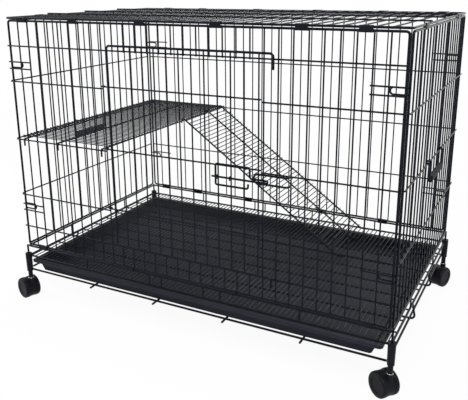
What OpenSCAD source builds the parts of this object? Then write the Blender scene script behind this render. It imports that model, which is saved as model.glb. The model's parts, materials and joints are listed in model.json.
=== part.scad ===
// Two-level wire cage for a ferret: wall panels clipped to a top panel and a base,
// a front door with a sliding bolt, a shelf with a ramp, a grate over a slide-out tray,
// carry handles on the side panels and four twin-wheel swivel casters.
// X runs along the front, Y towards the back and Z up. The origin is on the floor,
// under the middle of the cage.

/* [Cage] */
// Width of the front panel between its post wires
cage_w = 760; // [720:5:860]
// Depth between the front and the back panel
cage_d = 467; // [430:1:540]
// Height of a wall panel between its bottom and top wires
wall_h = 459; // [430:1:520]
// Height of the walls' bottom wires above the floor
wall_z = 126; // [122:1:140]
// Spacing of the upright wires
mesh_gap = 24.5; // [22:0.5:28]

/* [Wires] */
// Diameter of the border wires
frame_d = 4; // [3.6:0.1:4.5]
// Diameter of the level wires that cross the uprights
bar_d = 2.8; // [2.4:0.1:3.2]
// Diameter of the upright wires
rod_d = 2.6; // [2.2:0.1:3]
// Diameter of the fine wires of the grate, the shelf and the ramp
fine_d = 2; // [1.6:0.1:2.4]
// Spacing of the fine wires
fine_gap = 9.5; // [8:0.5:12]
// Centre-line radius of the border wires' corners
bend_r = 5; // [4:0.5:12]
// How far a level wire runs past the corner post
bar_tip = 1; // [0.5:0.5:4]

/* [Levels] */
// Doorway sill above the walls' bottom wire
sill_h = 42.5; // [36:0.5:60]
// Doorway lintel below the walls' top wire
lintel_drop = 47; // [40:0.5:60]
// Lower and upper level wires inside the sill and the lintel
bar_inset = 68.5; // [55:0.5:80]
// Outer rung of each corner pair from the bottom or top wire
rung_inset = 77.5; // [70:0.5:90]
// Spacing of the two rungs of a pair
rung_gap = 13; // [12:0.5:16]
// Height of the side panels' tabs between the rungs
tab_h = 10.5; // [8:0.5:12]
// How far the tabs reach into the cage
tab_reach = 28; // [20:1:30]
// Diameter of the tab wire
tab_d = 3; // [2.6:0.1:3.4]

/* [Door] */
// Upright of the front panel that the door hinges on, counted from the left
hinge_wire = 9; // [7:1:10]
// Mesh gaps across the doorway
doorway_gaps = 13; // [11:1:14]
// The door's uprights beside the panel's
door_shift = 17.3; // [14:0.1:18]
// The door's level wires above the panel's
door_lift = 4; // [3.4:0.1:6]
// The door's top wire above the lintel
door_over = 9; // [7:0.5:12]
// The door's bottom wire above the sill
door_under = 2.5; // [1:0.5:6]
// The door's last upright before the far stile
door_last = 6; // [5:0.5:8]
// How far the stop tails stand past the far stile
tail_x = 18.5; // [12:0.5:22]
// Length of the upper stop tail
tail_top = 25; // [18:1:30]
// Length of the lower stop tail
tail_low = 17; // [12:1:22]

/* [Latch] */
// Diameter of the bolt wire
bolt_d = 3.5; // [3:0.1:4]
// Bolt tip past the far stile when shut
bolt_tip = 13.6; // [12:0.1:16]
// Width of the handle loop
grip_w = 64; // [62:1:70]
// Gap between the handle loop and the first guide when shut
grip_gap = 0.5355; // [0.4:0.0001:1]
// Bolt wire's end past the handle loop
grip_stub = 7.2; // [5:0.1:9]
// Corner radius of the handle loop's outer end
grip_bend = 3; // [2.5:0.5:6]
// Height of the wire's upturned end under the bolt
grip_end = 8; // [6:0.5:9]
// Handle loop above the mid level wire
grip_up = 7.5; // [6:0.5:10]
// Handle loop below the mid level wire
grip_down = 29; // [27:0.5:34]
// Bolt below the mid level wire
bolt_drop = 15; // [14:0.5:16]
// Keeper's rounded end before the far stile
keeper_reach = 10.6; // [8:0.1:12]
// Mesh gaps from the far stile to the keeper's weld
keeper_gaps = 2; // [2:1:3]

/* [Carry handles] */
// Distance between a handle's hooks
handle_w = 105; // [90:1:115]
// Centre of the handles before the middle of the side
handle_shift = 3; // [0:1:6]
// Grip below the level wire it hangs on
handle_drop = 30; // [26:1:40]
// Diameter of the handle wire
bail_d = 3.5; // [3:0.1:4]
// Thickness of the grip
grip_d = 9; // [8:0.5:9.5]
// Height of the grip's flattened section
grip_h = 13; // [11:0.5:15]
// Gap between the grip's ends and the handle's upright wires' centre lines
grip_inset = 6.5; // [5.5:0.5:12]

/* [Shelf and ramp] */
// Stiff wires of the shelf from the left wall's border
shelf_at = [20, 106, 212];
// Left edge wire of the shelf from the left wall's border
shelf_edge = 5; // [4:0.5:8]
// Diameter of the shelf's and ramp's stiff wires
stiff_d = 3.5; // [3:0.1:4]
// Length of the shelf's hooks
hook_drop = 14; // [10:1:20]
// Slope of the ramp
ramp_slope = 35; // [34:0.5:42]
// Shelf gaps, from the front, that the ramp's rails hook into
ramp_gaps = [28, 39, 46];
// Length of the ramp's flat foot
ramp_foot = 14; // [10:1:20]

/* [Base] */
// Grate border below the walls' bottom wires
grate_drop = 27; // [24:0.5:30]
// Corner radius of the base rim
rim_bend = 5; // [4:0.5:8]
// Struts of the base, along the front from its middle
strut_at = [-228, -78, -50, 40, 75, 228];
// Struts of the base, along each side from its middle
side_strut_at = [-100, 100];
// Diameter of the struts
strut_d = 3; // [2.4:0.1:3.4]
// Stiff wires under the grate
grate_bars = 10; // [8:1:12]
// Rack wires below the walls' bottom wires
rack_drop = 58; // [57:0.5:61]
// Cradle wires of the rack from the middle
cradle_at = [-80, 65];
// How far the cradles bow out past the side panels
cradle_bow = 6; // [4:0.5:10]
// Corner radius of the cradle wires
cradle_bend = 7; // [5:0.5:9]
// Spacing of the rods under the rack
rack_rod_gap = 150; // [140:1:160]

/* [Tray] */
// Gap between the tray's ends and the sleeves
tray_gap = 6.9; // [5:0.1:34]
// Depth of the tray over its rim
tray_d = 462; // [420:1:468]
// Height of the tray
tray_h = 23; // [18:0.5:24]
// How far the tray's rim stands out in front
tray_out = 7.5; // [4:0.5:12]
// Width of the tray's flat rim
tray_rim = 9; // [8:0.5:14]
// How far the tray's ends lean in
tray_lean = 11; // [8:0.5:16]
// How far the tray's front and back lean in
tray_draft = 3; // [1:0.5:8]
// Corner radius of the tray's basin
tray_corner = 5; // [4:0.5:12]
// Thickness of the tray
tray_t = 2; // [1.6:0.1:2.5]

/* [Casters] */
// Radius of the caster wheels
wheel_r = 22.3; // [21:0.1:23]
// Gap between the two wheels of a caster
wheel_split = 14.6; // [14:0.2:18]
// Width over both wheels
caster_w = 33; // [32:0.5:40]
// Rounding of the wheels' outer edge
wheel_round = 4; // [3:0.5:4.5]
// Radius of the shallow dish in a wheel's outer face
wheel_dish = 13; // [10:0.5:15]
// Trail of the axle behind the stem
trail = 13; // [11:0.5:14]
// Directions the casters trail in, front left and on anticlockwise, degrees
trail_dirs = [162, 143, -111, -110];
// Diameter of the sleeves at the top
sleeve_d = 13.6; // [12.6:0.1:14.4]
// Diameter of the sleeves where their neck starts
sleeve_base_d = 12.4; // [11.6:0.1:12.6]
// Diameter of the sleeves' neck
neck_d = 9.2; // [9:0.1:10]
// Length of the neck
neck_len = 16; // [14:0.5:17]
// Length of the sleeves with the neck
sleeve_len = 56; // [54:0.5:58]
// Sleeve tops below the walls' bottom wires
sleeve_drop = 22; // [20:0.5:23]
// Diameter of the caster stems
stem_d = 7; // [6:0.1:7.4]
// Diameter of the caster's boss round the stem
boss_d = 11.6; // [10:0.2:12]
// Diameter of the axles
axle_d = 6; // [5:0.1:6.5]

/* [Fits] */
// Gap at a weld between two wires
weld_gap = 0.02; // [0.01:0.01:0.05]
// Clearance between pieces that move past each other
run_gap = 0.35; // [0.3:0.05:0.5]
// Radial clearance of a pin or stem in its bore
pin_gap = 0.05; // [0.03:0.01:0.1]
// Radial clearance of a wire in a clip or socket
clip_fit = 0.1; // [0.06:0.01:0.1]
// Gap between two wires that a clip holds
clip_gap = 1; // [0.6:0.1:1.5]
// Length of a clip
clip_w = 20.5; // [14:0.5:20.5]
// Thickness of a clip
clip_t = 0.8; // [0.6:0.1:0.9]
// Places of the top clips along the front and the back panel, as shares of its width
clip_spots = [0.05, 0.21, 0.4, 0.6, 0.79, 0.92];
// Places of the base clips along the front panel
base_spots = [0.05, 0.34, 0.63, 0.95];
// Places of the base clips along the back panel, from its left as seen from behind
back_spots = [0.18, 0.37, 0.63, 0.82, 0.95];

/* [Hidden] */
$fn = 32;

coat = [0.09, 0.09, 0.11];
plastic = [0.13, 0.13, 0.14];
steel = [0.6, 0.6, 0.62];

// The walls: the side panels stand just outside the front panel's posts in X and
// just inside them in Y, so that they can swing in under the top panel
half_w = cage_w / 2;
half_d = cage_d / 2;
top_z = wall_z + wall_h;
side_x = half_w + frame_d + run_gap;
side_y = half_d - frame_d - run_gap;
gaps_x = round(cage_w / mesh_gap);
gaps_y = round(cage_d / mesh_gap);
pitch_x = cage_w / gaps_x;
pitch_y = 2 * side_y / gaps_y;
function front_x(k) = -half_w + k * pitch_x;
function side_u(k) = -side_y + k * pitch_y;

// Outward offsets of the uprights and the level wires from a border wire's plane
rod_out = (frame_d - rod_d) / 2;
bar_out = (frame_d + bar_d) / 2 + weld_gap;
rod_lo = wall_z + frame_d / 2 + weld_gap;
rod_hi = top_z - frame_d / 2 - weld_gap;
sill_z = wall_z + sill_h;
lintel_z = top_z - lintel_drop;
low_z = sill_z + bar_inset;
high_z = lintel_z - bar_inset;
mid_z = (sill_z + lintel_z) / 2;
levels = [low_z, mid_z, high_z];
rung_starts = [wall_z + rung_inset, top_z - rung_inset - rung_gap];

// The doorway and the door's planes, one outside the other
far_wire = hinge_wire + doorway_gaps;
hinge_x = front_x(hinge_wire);
far_x = front_x(far_wire);
eye_r = (rod_d + bar_d) / 2 + run_gap;
eye_sweep = 250;
door_bar_out = rod_out + eye_r;
door_rod_out = door_bar_out + (bar_d + rod_d) / 2 + weld_gap;
door_frame_out = door_bar_out + (bar_d + frame_d) / 2 + weld_gap;
door_top = lintel_z + door_over;
door_low = sill_z + door_under;
door_left = hinge_x + door_shift;
door_right = far_x - door_last;
door_bend = 6;
bolt_out = door_rod_out + (rod_d + bolt_d) / 2 + run_gap;
bolt_z = mid_z - bolt_drop;
bolt_gap = bolt_d + 0.7;
keeper_out = bolt_out + bolt_d + run_gap;
guide_d = 2;
guide_r = (bolt_d + guide_d) / 2 + run_gap;
guide_wires = [far_wire - 4, far_wire - 3];
function guide_x(i) = front_x(guide_wires[i]) + door_shift;

// The top panel, the base rim and the clips between neighbouring border wires
clip_span = frame_d + clip_gap;
lid_z = top_z + clip_span;
rim_z = wall_z - clip_span;
side_clip_gap = 3.5;

// The base below the walls
grate_z = wall_z - grate_drop;
fine_z = grate_z + (frame_d - fine_d) / 2;
under_d = 3;
under_z = fine_z - (fine_d + under_d) / 2 - weld_gap;
post_out = (rim_bend + frame_d + weld_gap) / sqrt(2) - rim_bend;
post_x = side_x + post_out;
post_y = half_d + post_out;
sleeve_top = wall_z - sleeve_drop;
sleeve_low = sleeve_top - sleeve_len;
border_x = post_x - sleeve_d / 2 - weld_gap;
border_y = post_y - sleeve_d / 2 - weld_gap;
leg_depth = 14;
rack_z = wall_z - rack_drop;
rail_z = rack_z + frame_d + weld_gap;
cradle_top = grate_z - frame_d / 2 - run_gap;
cradle_turn = 90 + atan(cradle_bow / (cradle_top - rack_z));
rail_x = side_x + cradle_bow - cradle_bend * tan(cradle_turn / 2);
rack_rod_shift = 8;
rack_rod_tip = 6;
tray_z = rack_z + frame_d / 2 + run_gap;
tray_w = 2 * (post_x - sleeve_d / 2 - tray_gap);
tray_y = tray_d / 2 - half_d - tray_out;

// The shelf hangs by its hooks on the mid level wires of the front and back panels
shelf_r = (bar_d + stiff_d) / 2 + weld_gap;
shelf_z = mid_z + shelf_r;
shelf_hook_y = half_d + bar_out + shelf_r;
shelf_left = -half_w + shelf_edge;
shelf_right = -half_w + shelf_at[2];
shelf_half = half_d - frame_d - 4;
shelf_count = round(2 * shelf_half / fine_gap);
function shelf_y(j) = -shelf_half + j * 2 * shelf_half / shelf_count;
shelf_fine_z = shelf_z + (stiff_d + fine_d) / 2 + weld_gap;

// The ramp hooks over the shelf's right wire and stands on the grate
ramp_r = stiff_d + run_gap;
ramp_turn = 90 + ramp_slope;
ramp_head = [shelf_right - ramp_r, shelf_z + ramp_r * tan(ramp_turn / 2)];
ramp_foot_z = fine_z + (fine_d + stiff_d) / 2 + run_gap;
ramp_len = (ramp_head.y - ramp_foot_z) / sin(ramp_slope);
ramp_foot_x = ramp_head.x + ramp_len * cos(ramp_slope);
ramp_start = 15;
ramp_end = 9;
ramp_count = round((ramp_len - ramp_start - ramp_end) / fine_gap);
ramp_edge = 2;

// The carry handles hang on the side panels' mid level wires
hang_r = (bar_d + bail_d) / 2 + run_gap;
hang_x = side_x + bar_out;
grip_len = handle_w - 2 * grip_inset;

// The casters
wheel_t = (caster_w - wheel_split) / 2;
dish_t = 0.8;
axle_in = wheel_t - 3;
hood_t = wheel_split - 2 * run_gap;
hood_top = sleeve_low - 0.6;

// ---- Wires ----

function unit(v) = v / norm(v);
function turn(a, b, c) = acos(max(-1, min(1, unit(b - a) * unit(c - b))));
function cut(a, b, c, r) = r * tan(turn(a, b, c) / 2);

// A bend is a hair thicker than the wire, and the straight runs end just inside it
bend_swell = 0.02;
bend_lap = 0.1;

// Straight wire from a to b
module rod(a, b, d) {
  v = b - a;
  if (norm(v) > 0.001)
    translate(a)
      rotate([0, acos(v.z / norm(v)), atan2(v.y, v.x)])
        cylinder(d = d, h = norm(v));
}

// Bend of radius r at corner b of a wire that runs from a over b to c
module elbow(a, b, c, r, d) {
  u = unit(b - a);
  w = unit(c - b);
  t = turn(a, b, c);
  n = (w - (u * w) * u) / sin(t);
  o = b - u * cut(a, b, c, r) + n * r;
  k = cross(-n, u);
  multmatrix([
    [-n.x, u.x, k.x, o.x],
    [-n.y, u.y, k.y, o.y],
    [-n.z, u.z, k.z, o.z],
    [0, 0, 0, 1]
  ])
    rotate_extrude(angle = t) translate([r, 0]) circle(d = d + bend_swell);
}

// Wire along the corners p, with one bend radius or a list with one for each corner
module wire(p, r, d) {
  n = len(p);
  function rad(i) = is_list(r) ? r[i] : r;
  for (i = [0 : n - 2]) {
    u = unit(p[i + 1] - p[i]);
    a = i == 0 ? 0 : cut(p[i - 1], p[i], p[i + 1], rad(i)) - bend_lap;
    b = i == n - 2 ? 0 : cut(p[i], p[i + 1], p[i + 2], rad(i + 1)) - bend_lap;
    rod(p[i] + a * u, p[i + 1] - b * u, d);
  }
  for (i = [1 : n - 2]) elbow(p[i - 1], p[i], p[i + 1], rad(i), d);
}

// Closed loop of wire round the corners p
module loop(p, r, d) {
  n = len(p);
  for (i = [0 : n - 1]) {
    a = p[(i + n - 1) % n];
    b = p[i];
    c = p[(i + 1) % n];
    e = p[(i + 2) % n];
    u = unit(c - b);
    elbow(a, b, c, r, d);
    rod(b + u * (cut(a, b, c, r) - bend_lap), c - u * (cut(b, c, e, r) - bend_lap), d);
  }
}

// ---- Wall panels, drawn facing the front with their plane at y = 0 ----

module on_front() translate([0, -half_d, 0]) children();
module on_back() rotate([0, 0, 180]) on_front() children();
module on_right() rotate([0, 0, 90]) translate([0, -side_x, 0]) children();
module on_left() rotate([0, 0, -90]) translate([0, -side_x, 0]) children();

module panel_frame(half) {
  loop([[-half, 0, wall_z], [half, 0, wall_z], [half, 0, top_z], [-half, 0, top_z]], bend_r, frame_d);
}

module upright(u, lo, hi) rod([u, -rod_out, lo], [u, -rod_out, hi], rod_d);

module level(u0, u1, z) rod([u0, -bar_out, z], [u1, -bar_out, z], bar_d);

// Pairs of short rungs at the corners of the front and back panels
module rungs() {
  in_x = half_w - 2 * pitch_x - rod_d / 2 - 1;
  out_x = half_w + frame_d / 2 + bar_tip;
  for (z = rung_starts, dz = [0, rung_gap], s = [-1, 1])
    level(min(s * in_x, s * out_x), max(s * in_x, s * out_x), z + dz);
}

module side_rods() for (k = [1 : gaps_y - 1]) upright(side_u(k), rod_lo, rod_hi);

// Their ends stay behind the front and back panels' posts, which they pass when they swing in
module side_bars() {
  end = side_y + frame_d / 2 - 0.5;
  for (z = levels) level(-end, end, z);
}

// U-shaped tabs that reach in beside the front and back panels, between the rungs
module side_tabs() {
  in0 = frame_d / 2 + weld_gap;
  for (z = rung_starts, u = [-side_y, side_y]) {
    lo = z + (rung_gap - tab_h) / 2;
    hi = lo + tab_h;
    wire([[u, in0, hi], [u, tab_reach, hi], [u, tab_reach, lo], [u, in0, lo]], tab_h / 2, tab_d);
  }
}

module front_frame() color(coat) on_front() panel_frame(half_w);

module front_rods() color(coat) on_front() {
  over = bar_d / 2 + 1;
  for (k = [1 : gaps_x - 1])
    if (k > hinge_wire && k < far_wire) {
      upright(front_x(k), rod_lo, sill_z + over);
      upright(front_x(k), lintel_z - over, rod_hi);
    } else
      upright(front_x(k), rod_lo, rod_hi);
}

module front_bars() color(coat) on_front() {
  end = half_w + frame_d / 2 + bar_tip;
  over = rod_d / 2 + 1;
  for (z = [sill_z, lintel_z]) level(-end, end, z);
  for (z = levels) {
    level(-end, hinge_x + over, z);
    level(far_x - over, end, z);
  }
  rungs();
}

module back_frame() color(coat) on_back() panel_frame(half_w);

module back_rods() color(coat) on_back() for (k = [1 : gaps_x - 1]) upright(front_x(k), rod_lo, rod_hi);

module back_bars() color(coat) on_back() {
  end = half_w + frame_d / 2 + bar_tip;
  for (z = levels) level(-end, end, z);
  rungs();
}

module left_frame() color(coat) on_left() panel_frame(side_y);
module left_rods() color(coat) on_left() side_rods();
module left_bars() color(coat) on_left() side_bars();
module left_tabs() color(coat) on_left() side_tabs();
module right_frame() color(coat) on_right() panel_frame(side_y);
module right_rods() color(coat) on_right() side_rods();
module right_bars() color(coat) on_right() side_bars();
module right_tabs() color(coat) on_right() side_tabs();

// ---- Top panel ----

module top_frame() color(coat) {
  loop([
    [-side_x, -half_d, lid_z], [side_x, -half_d, lid_z],
    [side_x, half_d, lid_z], [-side_x, half_d, lid_z]
  ], bend_r, frame_d);
}

module top_rods() color(coat) {
  end = half_d - frame_d / 2 - weld_gap;
  z = lid_z + rod_out;
  for (k = [1 : gaps_x - 1]) rod([front_x(k), -end, z], [front_x(k), end, z], rod_d);
}

module top_bars() color(coat) {
  end = side_x + frame_d / 2 + bar_tip;
  z = lid_z + bar_out;
  for (y = [-half_d / 2, 0, half_d / 2]) rod([-end, y, z], [end, y, z], bar_d);
}

// ---- Clips: sheet straps closed round two neighbouring wires ----

module stadium(r) {
  for (y = [0, clip_span]) translate([0, y]) circle(r);
  translate([-r, 0]) square([2 * r, clip_span]);
}

// A clip whose lower wire runs through u along X at height z, with its seam inside
module clip(u, z) {
  inner = frame_d / 2 + clip_fit;
  outer = inner + clip_t;
  translate([u - clip_w / 2, 0, z])
    rotate([90, 0, 90])
      linear_extrude(clip_w)
        difference() {
          stadium(outer);
          stadium(inner);
          translate([inner - 0.5, clip_span / 2 - 0.3]) square([clip_t + 1, 0.6]);
        }
}

// Clips in the mesh gaps at the places in list f
module clips(f, z) for (s = f) clip(front_x(floor(s * gaps_x) + 0.5), z);

module front_clips() color(coat) on_front() clips(clip_spots, top_z);
module back_clips() color(coat) on_back() clips(clip_spots, top_z);

module side_clips() color(coat) {
  u = side_u(gaps_y - side_clip_gap);
  on_left() for (s = [-1, 1]) clip(s * u, top_z);
  on_right() for (s = [-1, 1]) clip(s * u, top_z);
}

module base_clips() color(coat) {
  on_front() clips(base_spots, rim_z);
  on_back() clips(back_spots, rim_z);
}

// ---- Door ----

// One bent wire: stop tail, top, hinge side, bottom and the lower stop tail
module door_frame() color(coat) on_front() {
  y = -door_frame_out;
  x = far_x + tail_x;
  wire([
    [x, y, door_top - tail_top], [x, y, door_top], [door_left, y, door_top],
    [door_left, y, door_low], [x, y, door_low], [x, y, door_low - tail_low]
  ], door_bend, frame_d);
}

module door_rods() color(coat) on_front() {
  lo = door_low + frame_d / 2 + weld_gap;
  hi = door_top - frame_d / 2 - weld_gap;
  xs = concat([for (k = [hinge_wire + 1 : far_wire - 2]) front_x(k) + door_shift], [door_right]);
  for (x = xs) rod([x, -door_rod_out, lo], [x, -door_rod_out, hi], rod_d);
}

// Level wires of the door, each curled round the hinge stile as an eye
module door_bars() color(coat) on_front() {
  for (z = levels) translate([0, 0, z + door_lift]) {
    rod([hinge_x - bend_lap, -door_bar_out, 0], [door_right + rod_d / 2 + 1, -door_bar_out, 0], bar_d);
    translate([hinge_x, -rod_out, 0])
      rotate([0, 0, 270 - eye_sweep])
        rotate_extrude(angle = eye_sweep) translate([eye_r, 0]) circle(d = bar_d + bend_swell);
  }
}

// ---- Latch ----

// Staples on two door uprights, round the bolt's lower wire
module latch_guides() color(coat) on_front() {
  y0 = -door_rod_out - rod_d / 2 - weld_gap;
  y1 = -bolt_out - guide_r;
  for (i = [0, 1]) {
    x = guide_x(i);
    lo = bolt_z - guide_r;
    hi = bolt_z + guide_r;
    wire([[x, y0, lo], [x, y1, lo], [x, y1, hi], [x, y0, hi]], guide_d * 0.75, guide_d);
  }
}

// One wire bent into the doubled bolt and its handle loop
module latch_bolt() color(coat) on_front() {
  y = -bolt_out;
  tip = far_x + bolt_tip - bolt_d / 2;
  side = guide_x(0) - (guide_d + bolt_d) / 2 - grip_gap;
  left = side - grip_stub;
  riser = side + grip_w;
  lo = bolt_z;
  hi = bolt_z + bolt_gap;
  up = mid_z + grip_up;
  down = mid_z - grip_down;
  wire([
    [left, y, lo], [tip, y, lo], [tip, y, hi], [riser, y, hi], [riser, y, up],
    [side, y, up], [side, y, down], [riser - 3, y, down], [riser - 3, y, down + grip_end]
  ], [0, bolt_gap / 2, bolt_gap / 2, 4, 4, grip_bend, grip_bend, 4, 0], bolt_d);
}

// Hairpin welded to the panel, standing outside the bolt
module latch_keeper() color(coat) on_front() {
  y = -keeper_out;
  left = far_x - keeper_reach;
  right = front_x(far_wire + keeper_gaps);
  lo = bolt_z - 0.6;
  wire([
    [right, -bar_out - bar_d / 2 - weld_gap, mid_z], [right, y, mid_z], [left, y, mid_z],
    [left, y, lo], [right, y, lo], [right, -rod_out - rod_d / 2 - weld_gap, lo]
  ], [0, 4, (mid_z - lo) / 2 - 0.8, (mid_z - lo) / 2 - 0.8, 4, 0], bolt_d);
}

// ---- Carry handles, drawn facing the front and hung at the origin ----

module bail() {
  y = -hang_r;
  tip = -3;
  h = handle_w / 2;
  wire([
    [-h, -y, tip], [-h, -y, hang_r], [-h, y, hang_r], [-h, y, -handle_drop],
    [h, y, -handle_drop], [h, y, hang_r], [h, -y, hang_r], [h, -y, tip]
  ], [0, hang_r, hang_r, 5, 5, hang_r, hang_r, 0], bail_d);
}

// Flattened tube round the bail
module grip() {
  translate([-grip_len / 2, -hang_r, -handle_drop])
    rotate([90, 0, 90])
      linear_extrude(grip_len)
        difference() {
          union() {
            for (s = [-1, 1]) translate([0, s * (grip_h - grip_d) / 2]) circle(d = grip_d);
            square([grip_d, grip_h - grip_d], center = true);
          }
          circle(d = bail_d + 2 * clip_fit);
        }
}

module hung_right() rotate([0, 0, 90]) translate([-handle_shift, -hang_x, mid_z]) children();
module hung_left() rotate([0, 0, -90]) translate([handle_shift, -hang_x, mid_z]) children();
module left_bail() color(coat) hung_left() bail();
module left_grip() color(plastic) hung_left() grip();
module right_bail() color(coat) hung_right() bail();
module right_grip() color(plastic) hung_right() grip();

// ---- Shelf ----

module shelf_edge_wire() color(coat)
  rod([shelf_left, -shelf_half - 1, shelf_z], [shelf_left, shelf_half + 1, shelf_z], stiff_d);

module shelf_hook_wires() color(coat) {
  y = shelf_hook_y;
  for (at = shelf_at) {
    x = at - half_w;
    wire([
      [x, -y, shelf_z - hook_drop], [x, -y, shelf_z], [x, y, shelf_z], [x, y, shelf_z - hook_drop]
    ], shelf_r, stiff_d);
  }
}

module shelf_rods() color(coat) {
  x0 = shelf_left - stiff_d / 2;
  x1 = shelf_right + stiff_d / 2;
  for (j = [0 : shelf_count])
    rod([x0, shelf_y(j), shelf_fine_z], [x1, shelf_y(j), shelf_fine_z], fine_d);
}

// ---- Ramp ----

function rail_y(i) = shelf_y(ramp_gaps[i] + 0.5);

module ramp_rails() color(coat) {
  for (i = [0 : 2]) {
    y = rail_y(i);
    wire([
      [ramp_head.x, y, shelf_z - 6], [ramp_head.x, y, ramp_head.y],
      [ramp_foot_x, y, ramp_foot_z], [ramp_foot_x + ramp_foot, y, ramp_foot_z]
    ], [0, ramp_r, 8, 0], stiff_d);
  }
}

module ramp_rods() color(coat) {
  y0 = rail_y(0) - ramp_edge;
  y1 = rail_y(2) + ramp_edge;
  step = (ramp_len - ramp_start - ramp_end) / ramp_count;
  off = (stiff_d + fine_d) / 2 + weld_gap;
  for (j = [0 : ramp_count]) {
    s = ramp_start + j * step;
    x = ramp_head.x + s * cos(ramp_slope) + off * sin(ramp_slope);
    z = ramp_head.y - s * sin(ramp_slope) + off * cos(ramp_slope);
    rod([x, y0, z], [x, y1, z], fine_d);
  }
}

// ---- Base ----

module base_rim() color(coat) {
  loop([
    [-side_x, -half_d, rim_z], [side_x, -half_d, rim_z],
    [side_x, half_d, rim_z], [-side_x, half_d, rim_z]
  ], rim_bend, frame_d);
}

module base_struts() color(coat) {
  lo = grate_z + frame_d / 2 + weld_gap;
  hi = rim_z - frame_d / 2 - weld_gap;
  for (x = strut_at, s = [-1, 1]) rod([x, s * half_d, lo], [x, s * half_d, hi], strut_d);
  for (y = side_strut_at, s = [-1, 1]) rod([s * side_x, y, lo], [s * side_x, y, hi], strut_d);
}

module grate_border() color(coat) {
  for (s = [-1, 1]) {
    rod([-border_x, s * half_d, grate_z], [border_x, s * half_d, grate_z], frame_d);
    rod([s * side_x, -border_y, grate_z], [s * side_x, border_y, grate_z], frame_d);
  }
}

module grate_rods() color(coat) {
  half = border_x - fine_d / 2;
  end = half_d - frame_d / 2 - weld_gap;
  count = round(2 * half / fine_gap);
  for (j = [0 : count]) {
    x = -half + j * 2 * half / count;
    rod([x, -end, fine_z], [x, end, fine_z], fine_d);
  }
}

module grate_bars_under() color(coat) {
  end = side_x - frame_d / 2 - weld_gap;
  for (j = [1 : grate_bars]) {
    y = -half_d + j * cage_d / (grate_bars + 1);
    rod([-end, y, under_z], [end, y, under_z], under_d);
  }
}

module at_posts() for (sx = [-1, 1], sy = [-1, 1]) translate([sx * post_x, sy * post_y, 0]) children();

// Wires that stand in the sleeves and are welded to the outside of the rim's corners
module corner_legs() color(coat) at_posts() {
  rod([0, 0, sleeve_top - leg_depth + run_gap], [0, 0, rim_z + frame_d / 2], frame_d);
}

module rack_border() color(coat) {
  for (s = [-1, 1]) {
    rod([-border_x, s * half_d, rack_z], [border_x, s * half_d, rack_z], frame_d);
    rod([s * rail_x, -border_y, rail_z], [s * rail_x, border_y, rail_z], frame_d);
  }
}

// Wires that hang from the grate's border and pass under the tray
module rack_cradles() color(coat) {
  bow = side_x + cradle_bow;
  for (y = cradle_at)
    wire([
      [-side_x, y, cradle_top], [-bow, y, rack_z], [bow, y, rack_z], [side_x, y, cradle_top]
    ], cradle_bend, frame_d);
}

module rack_rods() color(coat) {
  z = rack_z - frame_d - weld_gap;
  end = half_d + frame_d / 2 + rack_rod_tip;
  for (j = [-1.5 : 1.5]) {
    x = rack_rod_shift + j * rack_rod_gap;
    rod([x, -end, z], [x, end, z], frame_d);
  }
}

// ---- Tray ----

module rounded(w, d, r) {
  square([w - 2 * r, d], center = true);
  square([w, d - 2 * r], center = true);
  for (x = [-1, 1], y = [-1, 1]) translate([x * (w / 2 - r), y * (d / 2 - r)]) circle(r);
}

// A shallow basin that narrows downwards by the tray's lean and draft
module basin(w, d, r, z0, z1) {
  hull() {
    translate([0, 0, z0]) linear_extrude(0.01) rounded(w - 2 * tray_lean, d - 2 * tray_draft, r);
    translate([0, 0, z1 - 0.01]) linear_extrude(0.01) rounded(w, d, r);
  }
}

module tray() color(plastic) translate([0, tray_y, tray_z]) {
  w = tray_w - 2 * tray_rim;
  d = tray_d - 2 * tray_rim;
  lip = 4;
  rim_r = tray_corner + 2;
  difference() {
    union() {
      basin(w, d, tray_corner, 0, tray_h);
      translate([0, 0, tray_h - tray_t]) linear_extrude(tray_t) rounded(tray_w, tray_d, rim_r);
      translate([0, 0, tray_h - lip]) linear_extrude(lip) difference() {
        rounded(tray_w, tray_d, rim_r);
        rounded(tray_w - 2 * tray_t, tray_d - 2 * tray_t, rim_r - tray_t);
      }
    }
    basin(w - 2 * tray_t, d - 2 * tray_t, tray_corner - tray_t, tray_t, tray_h + 0.1);
  }
}

// ---- Casters ----

// Tubes that narrow to a neck, with the leg in their top and the caster's stem in their foot
module caster_sleeves() color(plastic) at_posts() {
  stem_room = sleeve_len - leg_depth - 4;
  difference() {
    union() {
      translate([0, 0, sleeve_low + neck_len])
        cylinder(d1 = sleeve_base_d, d2 = sleeve_d, h = sleeve_len - neck_len);
      translate([0, 0, sleeve_low]) cylinder(d = neck_d, h = neck_len + 1);
    }
    translate([0, 0, sleeve_top - leg_depth]) cylinder(d = frame_d + 2 * clip_fit, h = leg_depth + 1);
    translate([0, 0, sleeve_low - 1]) cylinder(d = stem_d + 2 * pin_gap, h = stem_room + 1);
  }
}

corner_signs = [[-1, -1], [1, -1], [1, 1], [-1, 1]];

// Stands a caster, drawn with its stem on Z and trailing along X, under corner i
module at_caster(i) {
  translate([corner_signs[i].x * post_x, corner_signs[i].y * post_y, 0])
    rotate([0, 0, trail_dirs[i]])
      children();
}

// Body between the wheels, a little smaller than them, with its boss and stem
module hood() {
  stem_top = sleeve_top - leg_depth - 4 - run_gap;
  floor_gap = 0.7;
  difference() {
    union() {
      translate([trail, hood_t / 2, wheel_r]) rotate([90, 0, 0]) cylinder(r = wheel_r - floor_gap, h = hood_t);
      translate([0, 0, wheel_r]) cylinder(d = boss_d, h = hood_top - wheel_r);
      translate([0, 0, hood_top - 1]) cylinder(d = stem_d, h = stem_top - hood_top + 1);
    }
    translate([trail, hood_t, wheel_r]) rotate([90, 0, 0]) cylinder(d = axle_d + 2 * pin_gap, h = 2 * hood_t);
  }
}

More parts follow.
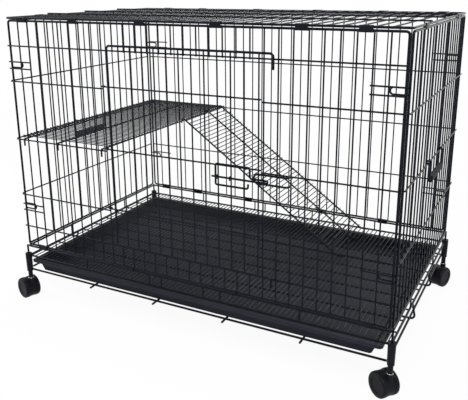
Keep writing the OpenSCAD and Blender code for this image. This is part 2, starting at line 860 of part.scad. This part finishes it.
// Wheel with a rounded outer edge, a shallow dish and a blind bore from the inside
module wheel() {
  r = wheel_round;
  difference() {
    rotate_extrude() {
      square([wheel_r - r, wheel_t]);
      square([wheel_r, wheel_t - r]);
      translate([wheel_r - r, wheel_t - r]) circle(r);
    }
    translate([0, 0, wheel_t - dish_t]) cylinder(r = wheel_dish, h = 2);
    translate([0, 0, -1]) cylinder(d = axle_d + 2 * weld_gap, h = axle_in + 1);
  }
}

module wheel_pair() {
  translate([trail, 0, wheel_r])
    for (s = [0, 180]) rotate([90, 0, s]) translate([0, 0, wheel_split / 2]) wheel();
}

module axle() {
  len = wheel_split + 2 * axle_in - 2 * run_gap;
  translate([trail, len / 2, wheel_r]) rotate([90, 0, 0]) cylinder(d = axle_d, h = len);
}

module hood_fl() color(plastic) at_caster(0) hood();
module hood_fr() color(plastic) at_caster(1) hood();
module hood_br() color(plastic) at_caster(2) hood();
module hood_bl() color(plastic) at_caster(3) hood();
module wheels_fl() color(plastic) at_caster(0) wheel_pair();
module wheels_fr() color(plastic) at_caster(1) wheel_pair();
module wheels_br() color(plastic) at_caster(2) wheel_pair();
module wheels_bl() color(plastic) at_caster(3) wheel_pair();
module axle_fl() color(steel) at_caster(0) axle();
module axle_fr() color(steel) at_caster(1) axle();
module axle_br() color(steel) at_caster(2) axle();
module axle_bl() color(steel) at_caster(3) axle();

front_frame();
front_rods();
front_bars();
back_frame();
back_rods();
back_bars();
left_frame();
left_rods();
left_bars();
left_tabs();
right_frame();
right_rods();
right_bars();
right_tabs();
top_frame();
top_rods();
top_bars();
door_frame();
door_rods();
door_bars();
latch_guides();
latch_bolt();
latch_keeper();
left_bail();
left_grip();
right_bail();
right_grip();
shelf_edge_wire();
shelf_hook_wires();
shelf_rods();
ramp_rails();
ramp_rods();
base_rim();
base_struts();
grate_border();
grate_rods();
grate_bars_under();
corner_legs();
rack_border();
rack_cradles();
rack_rods();
tray();
caster_sleeves();
hood_fl();
hood_fr();
hood_br();
hood_bl();
wheels_fl();
wheels_fr();
wheels_br();
wheels_bl();
axle_fl();
axle_fr();
axle_br();
axle_bl();
front_clips();
back_clips();
side_clips();
base_clips();
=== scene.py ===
"""Looks of the ferret cage: camera, light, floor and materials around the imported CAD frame."""

import json
import math

import bpy
from mathutils import Matrix, Vector


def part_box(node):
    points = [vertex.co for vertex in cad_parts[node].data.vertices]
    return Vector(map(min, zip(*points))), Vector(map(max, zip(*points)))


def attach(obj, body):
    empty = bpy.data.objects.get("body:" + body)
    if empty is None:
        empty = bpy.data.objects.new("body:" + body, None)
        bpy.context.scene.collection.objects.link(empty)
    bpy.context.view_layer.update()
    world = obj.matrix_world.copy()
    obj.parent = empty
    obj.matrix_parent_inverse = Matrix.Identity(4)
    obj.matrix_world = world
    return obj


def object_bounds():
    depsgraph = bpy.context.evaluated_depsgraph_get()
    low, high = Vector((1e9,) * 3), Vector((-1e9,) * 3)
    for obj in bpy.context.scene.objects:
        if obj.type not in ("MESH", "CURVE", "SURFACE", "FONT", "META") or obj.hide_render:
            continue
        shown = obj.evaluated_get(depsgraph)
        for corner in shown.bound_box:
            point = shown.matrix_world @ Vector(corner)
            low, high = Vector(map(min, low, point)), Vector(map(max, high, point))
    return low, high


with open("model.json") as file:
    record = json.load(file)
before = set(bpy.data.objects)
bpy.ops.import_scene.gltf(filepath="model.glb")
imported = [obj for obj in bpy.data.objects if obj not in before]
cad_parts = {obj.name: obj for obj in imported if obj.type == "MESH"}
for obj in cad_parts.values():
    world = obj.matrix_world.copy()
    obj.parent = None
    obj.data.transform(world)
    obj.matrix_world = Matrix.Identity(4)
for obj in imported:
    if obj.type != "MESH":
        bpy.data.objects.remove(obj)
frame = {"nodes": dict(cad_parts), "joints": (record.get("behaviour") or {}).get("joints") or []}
nodes = frame["nodes"]
cad_low, cad_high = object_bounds()

# The photograph's frame in pixels, and the camera fitted to it: metres and degrees
IMAGE_W, IMAGE_H = 468, 400
FOCAL_PX = 639.07
CENTRE_PX = (229.75, 165.39)
CAMERA_AT = (0.57762, -1.14316, 0.65146)
CAMERA_AZIMUTH = 27.834
CAMERA_ELEVATION = 15.947
CAMERA_ROLL = -0.431
SENSOR_MM = 36

# Soft boxes aimed at the middle of the cage: place and size in metres, power in watts
LAMPS = {
    "key": {"at": (0.9, -1.9, 2.2), "size": (0.6, 0.4), "power": 56},
    "side": {"at": (-2.1, -0.8, 1.5), "size": (0.5, 0.5), "power": 27},
    "back": {"at": (0.4, 2.2, 1.9), "size": (0.7, 0.3), "power": 22},
}

# Strength and colour of the world as fill light
FILL = 0.45
FILL_TINT = (0.93, 0.97, 1, 1)
WHITE = (1, 1, 1, 1)

# Half the floor's width and the tone of its paper
FLOOR_HALF = 30
FLOOR_PAPER = (0.8, 0.8, 0.8, 1)
# Share of plain white seen in the floor at the cage, and the distances between which it grows to 1
FLOOR_GLOW = 0.95
FLOOR_NEAR, FLOOR_FAR = 1.0, 3.0

# Radius of the sleeves' necks and of the wire of the steel rings round them
NECK_RADIUS = 0.0046
RING_WIRE = 0.00045

# Colour of the coated wires' highlights
COOL_GLOSS = (0.72, 0.86, 1, 1)

# Nodes of each finish; every other node is coated wire
CORNERS = ("fl", "fr", "br", "bl")
CLIPS = ("front_clips", "back_clips", "side_clips", "base_clips")
GRIPS = ("left_grip", "right_grip")


# ---- Camera, light and floor ----

def make_camera():
    az, el, roll = (math.radians(a) for a in (CAMERA_AZIMUTH, CAMERA_ELEVATION, CAMERA_ROLL))
    forward = Vector((-math.sin(az) * math.cos(el), math.cos(az) * math.cos(el), -math.sin(el)))
    level = Vector((math.cos(az), math.sin(az), 0))
    up = level.cross(forward)
    right = math.cos(roll) * level + math.sin(roll) * up
    up = right.cross(forward)
    turn = Matrix((right, up, -forward)).transposed()
    data = bpy.data.cameras.new("camera")
    data.sensor_width = SENSOR_MM
    data.lens = FOCAL_PX / IMAGE_W * SENSOR_MM
    data.shift_x = (IMAGE_W / 2 - CENTRE_PX[0]) / IMAGE_W
    data.shift_y = (CENTRE_PX[1] - IMAGE_H / 2) / IMAGE_W
    camera = bpy.data.objects.new("camera", data)
    camera.matrix_world = Matrix.Translation(CAMERA_AT) @ turn.to_4x4()
    bpy.context.scene.collection.objects.link(camera)
    bpy.context.scene.camera = camera


def make_lamps():
    middle = (cad_low + cad_high) / 2
    for name, box in LAMPS.items():
        data = bpy.data.lights.new(name, "AREA")
        data.shape = "RECTANGLE"
        data.size, data.size_y = box["size"]
        data.energy = box["power"]
        lamp = bpy.data.objects.new(name, data)
        lamp.location = box["at"]
        lamp.rotation_euler = (middle - Vector(box["at"])).to_track_quat("-Z", "Y").to_euler()
        bpy.context.scene.collection.objects.link(lamp)


def new_tree(owner):
    """Empty node tree of a material or a world."""
    owner.use_nodes = True
    owner.node_tree.nodes.clear()
    return owner.node_tree


def seen_rays(tree):
    """1 for rays that show the background: the camera's, reflections' and those through glass."""
    rays = tree.nodes.new("ShaderNodeLightPath")
    seen = rays.outputs["Is Camera Ray"]
    for name in ("Is Glossy Ray", "Is Transmission Ray"):
        either = tree.nodes.new("ShaderNodeMath")
        either.operation = "MAXIMUM"
        tree.links.new(seen, either.inputs[0])
        tree.links.new(rays.outputs[name], either.inputs[1])
        seen = either.outputs[0]
    return seen


def make_world():
    """Soft light all round that is seen as plain white."""
    world = bpy.data.worlds.new("studio")
    bpy.context.scene.world = world
    tree = new_tree(world)
    add, link = tree.nodes.new, tree.links.new
    out = add("ShaderNodeOutputWorld")
    white = add("ShaderNodeBackground")
    white.inputs["Color"].default_value = WHITE
    fill = add("ShaderNodeBackground")
    fill.inputs["Color"].default_value = FILL_TINT
    fill.inputs["Strength"].default_value = FILL
    mix = add("ShaderNodeMixShader")
    link(seen_rays(tree), mix.inputs[0])
    link(fill.outputs[0], mix.inputs[1])
    link(white.outputs[0], mix.inputs[2])
    link(mix.outputs[0], out.inputs["Surface"])


def glow_share(tree):
    """Share of plain white in the floor, which grows away from the cage, for rays that show it."""
    add, link = tree.nodes.new, tree.links.new
    place = add("ShaderNodeTexCoord")
    away = add("ShaderNodeVectorMath")
    away.operation = "LENGTH"
    link(place.outputs["Object"], away.inputs[0])
    fade = add("ShaderNodeMapRange")
    fade.inputs["From Min"].default_value = FLOOR_NEAR
    fade.inputs["From Max"].default_value = FLOOR_FAR
    fade.inputs["To Min"].default_value = FLOOR_GLOW
    fade.inputs["To Max"].default_value = 1
    link(away.outputs["Value"], fade.inputs["Value"])
    share = add("ShaderNodeMath")
    share.operation = "MULTIPLY"
    link(seen_rays(tree), share.inputs[0])
    link(fade.outputs["Result"], share.inputs[1])
    return share.outputs[0]


def floor_white():
    """White paper that keeps the cage's soft shadow."""
    material = bpy.data.materials.new("floor_white")
    tree = new_tree(material)
    add, link = tree.nodes.new, tree.links.new
    out = add("ShaderNodeOutputMaterial")
    paper = add("ShaderNodeBsdfDiffuse")
    paper.inputs["Color"].default_value = FLOOR_PAPER
    glow = add("ShaderNodeEmission")
    glow.inputs["Color"].default_value = WHITE
    glow.inputs["Strength"].default_value = 1
    lift = add("ShaderNodeMixShader")
    link(glow_share(tree), lift.inputs[0])
    link(paper.outputs[0], lift.inputs[1])
    link(glow.outputs[0], lift.inputs[2])
    link(lift.outputs[0], out.inputs["Surface"])
    return material


def make_floor():
    half = FLOOR_HALF
    mesh = bpy.data.meshes.new("floor")
    corners = [(-half, -half, 0), (half, -half, 0), (half, half, 0), (-half, half, 0)]
    mesh.from_pydata(corners, [], [(0, 1, 2, 3)])
    mesh.materials.append(floor_white())
    floor = bpy.data.objects.new("floor", mesh)
    bpy.context.scene.collection.objects.link(floor)


# ---- Parts of a material ----

def principled(name, color, roughness, specular=0.5, metallic=0.0):
    """Starts a material and returns it with its tree, its shader and its texture coordinates."""
    material = bpy.data.materials.new(name)
    tree = new_tree(material)
    out = tree.nodes.new("ShaderNodeOutputMaterial")
    shader = tree.nodes.new("ShaderNodeBsdfPrincipled")
    shader.inputs["Base Color"].default_value = (*color, 1)
    shader.inputs["Roughness"].default_value = roughness
    shader.inputs["Specular IOR Level"].default_value = specular
    shader.inputs["Metallic"].default_value = metallic
    tree.links.new(shader.outputs[0], out.inputs["Surface"])
    place = tree.nodes.new("ShaderNodeTexCoord")
    return material, tree, shader, place.outputs["Object"]


def noise(tree, place, per_metre, detail=2.0, rough=0.5):
    node = tree.nodes.new("ShaderNodeTexNoise")
    node.inputs["Scale"].default_value = per_metre
    node.inputs["Detail"].default_value = detail
    node.inputs["Roughness"].default_value = rough
    tree.links.new(place, node.inputs["Vector"])
    return node.outputs["Fac"]


def mottle(tree, shader, factor, tint, dark, light):
    """Tone that runs from dark to light times the tint; each is (place on the noise, share)."""
    node = tree.nodes.new("ShaderNodeValToRGB")
    for element, (position, share) in zip(node.color_ramp.elements, (dark, light)):
        element.position = position
        element.color = (*(share * c for c in tint), 1)
    tree.links.new(factor, node.inputs["Fac"])
    tree.links.new(node.outputs["Color"], shader.inputs["Base Color"])


def vary_roughness(tree, shader, factor, low, high):
    node = tree.nodes.new("ShaderNodeMapRange")
    node.inputs["To Min"].default_value = low
    node.inputs["To Max"].default_value = high
    tree.links.new(factor, node.inputs["Value"])
    tree.links.new(node.outputs["Result"], shader.inputs["Roughness"])


def bump(tree, shader, height, depth, strength):
    node = tree.nodes.new("ShaderNodeBump")
    node.inputs["Distance"].default_value = depth
    node.inputs["Strength"].default_value = strength
    tree.links.new(height, node.inputs["Height"])
    tree.links.new(node.outputs["Normal"], shader.inputs["Normal"])


# ---- Materials ----

def coated_wire(name, tint, roughness):
    """Powder coat: near black, glossy, with a fine orange peel and slight changes of sheen."""
    material, tree, shader, place = principled(name, tint, roughness, specular=0.12)
    shader.inputs["Specular Tint"].default_value = COOL_GLOSS
    patches = noise(tree, place, per_metre=14, detail=4)
    mottle(tree, shader, patches, tint, dark=(0.35, 0.7), light=(0.7, 1.5))
    sheen = noise(tree, place, per_metre=40)
    vary_roughness(tree, shader, sheen, low=roughness - 0.06, high=roughness + 0.1)
    peel = noise(tree, place, per_metre=900, detail=1)
    bump(tree, shader, peel, depth=0.00012, strength=0.6)
    return material


def tray_plastic():
    """Moulded sheet: satin, with a fine grain and faint scuffs."""
    tint = (0.0145, 0.0158, 0.0225)
    material, tree, shader, place = principled("tray_plastic", tint, roughness=0.4, specular=0.1)
    patches = noise(tree, place, per_metre=9, detail=5, rough=0.6)
    mottle(tree, shader, patches, tint, dark=(0.3, 0.75), light=(0.75, 1.5))
    scuffs = noise(tree, place, per_metre=22, detail=6)
    vary_roughness(tree, shader, scuffs, low=0.3, high=0.52)
    grain = noise(tree, place, per_metre=1400)
    bump(tree, shader, grain, depth=0.0001, strength=0.7)
    return material


def caster_plastic():
    """Nylon: smooth, a little lighter where it has rubbed."""
    tint = (0.006, 0.0062, 0.0085)
    material, tree, shader, place = principled("caster_plastic", tint, roughness=0.42, specular=0.08)
    rubbed = noise(tree, place, per_metre=60, detail=5, rough=0.65)
    mottle(tree, shader, rubbed, tint, dark=(0.35, 0.8), light=(0.8, 1.7))
    sheen = noise(tree, place, per_metre=120, detail=4)
    vary_roughness(tree, shader, sheen, low=0.34, high=0.55)
    grain = noise(tree, place, per_metre=2200)
    bump(tree, shader, grain, depth=0.00008, strength=0.6)
    return material


def grip_plastic():
    """Dull moulded plastic with a fine grain."""
    tint = (0.006, 0.0062, 0.008)
    material, tree, shader, place = principled("grip_plastic", tint, roughness=0.55, specular=0.08)
    patches = noise(tree, place, per_metre=90, detail=4)
    mottle(tree, shader, patches, tint, dark=(0.3, 0.8), light=(0.8, 1.6))
    grain = noise(tree, place, per_metre=3000)
    bump(tree, shader, grain, depth=0.0001, strength=0.9)
    return material


def axle_steel():
    """Bright drawn steel with a fine grain."""
    tint = (0.55, 0.55, 0.56)
    material, tree, shader, place = principled("axle_steel", tint, roughness=0.35, metallic=1.0)
    grain = noise(tree, place, per_metre=2500, detail=1)
    vary_roughness(tree, shader, grain, low=0.25, high=0.45)
    bump(tree, shader, grain, depth=0.00003, strength=0.5)
    return material


# ---- Steel rings round the casters' stems, at the foot of the sleeves ----

def ring(name, centre, major, minor, steps=48, sides=12):
    """Round wire of radius minor bent to a level circle of radius major."""
    points, faces = [], []
    for i in range(steps):
        turn = 2 * math.pi * i / steps
        for j in range(sides):
            tilt = 2 * math.pi * j / sides
            reach = major + minor * math.cos(tilt)
            points.append((centre.x + reach * math.cos(turn),
                           centre.y + reach * math.sin(turn),
                           centre.z + minor * math.sin(tilt)))
            near, far = i * sides, (i + 1) % steps * sides
            faces.append((near + j, far + j, far + (j + 1) % sides, near + (j + 1) % sides))
    mesh = bpy.data.meshes.new(name)
    mesh.from_pydata(points, [], faces)
    mesh.shade_smooth()
    piece = bpy.data.objects.new(name, mesh)
    bpy.context.scene.collection.objects.link(piece)
    return piece


def stem_rings(material):
    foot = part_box("caster_sleeves")[0][2]
    for joint in frame["joints"]:
        if not joint["name"].startswith("caster_swivel_"):
            continue
        x, y, _ = joint["pos_m"]
        name = joint["name"].replace("caster_swivel", "stem_ring")
        piece = ring(name, Vector((x, y, foot)), NECK_RADIUS + RING_WIRE, RING_WIRE)
        piece.data.materials.append(material)
        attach(piece, "cage")


# ---- Finish of each node ----

def dress(name, material):
    mesh = nodes[name].data
    mesh.materials.clear()
    mesh.materials.append(material)


def dress_all():
    wire = coated_wire("black_wire", tint=(0.003, 0.0035, 0.0062), roughness=0.22)
    sheet = coated_wire("clip_steel", tint=(0.0045, 0.005, 0.007), roughness=0.28)
    caster = caster_plastic()
    grip = grip_plastic()
    tray = tray_plastic()
    axle = axle_steel()
    special = {"tray": tray, "caster_sleeves": caster}
    special.update({name: sheet for name in CLIPS})
    special.update({name: grip for name in GRIPS})
    for corner in CORNERS:
        special["hood_" + corner] = caster
        special["wheels_" + corner] = caster
        special["axle_" + corner] = axle
    stem_rings(axle)
    for name in nodes:
        dress(name, special.get(name, wire))


make_camera()
make_lamps()
make_world()
make_floor()
dress_all()

bpy.context.scene.view_settings.view_transform = "Standard"
